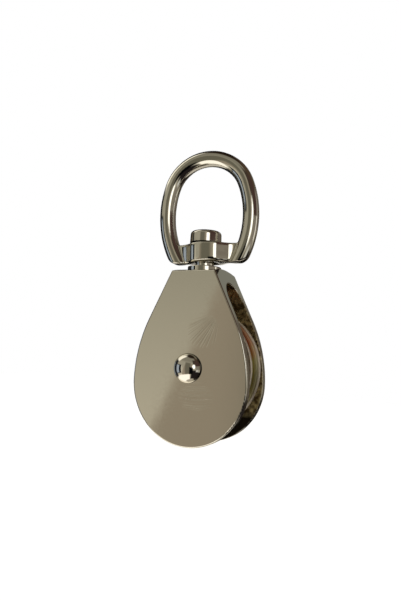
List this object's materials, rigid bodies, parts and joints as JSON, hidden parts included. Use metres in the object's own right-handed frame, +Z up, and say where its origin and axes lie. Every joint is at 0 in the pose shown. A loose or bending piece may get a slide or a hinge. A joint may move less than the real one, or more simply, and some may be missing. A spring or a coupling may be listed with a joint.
{
  "type": "swivel pulley",
  "caption": "Small plated swivel-eye pulley: a grooved sheave turns on a rivet between two flat egg-shaped cheeks under a crown, and the D-shaped eye above swivels on a headed pin.",
  "frame": {"origin": "centre of the sheave, on its axle, midway between the cheeks", "axes": "+Y along the axle from the front cheek (domed rivet head) to the back one, +Z up towards the eye that the pulley hangs by, +X across the cheeks"},
  "size_m": [0.0384, 0.0214, 0.0945],
  "materials": {
    "plated_casting": "polished nickel plate on a zinc casting, thin and brassy inside the slot",
    "plated_eye": "polished nickel plate on a zinc casting",
    "rivet_metal": "polished nickel plate on steel",
    "sheave_metal": "thin brassy plate in the groove, polished on the rims"
  },
  "bodies": {
    "eye": {"swivel_eye": "plated_eye"},
    "block": {"frame": "plated_casting", "axle_rivet": "rivet_metal", "swivel_pin": "rivet_metal"},
    "wheel": {"sheave": "sheave_metal"}
  },
  "joints": [
    {"name": "swivel", "type": "hinge", "parent": "eye", "child": "block", "pos_m": [0, 0, 0.03655], "axis": [0, 0, 1], "continuous": true},
    {"name": "sheave_spin", "type": "hinge", "parent": "block", "child": "wheel", "pos_m": [0, 0, 0], "axis": [0, 1, 0], "continuous": true}
  ]
}
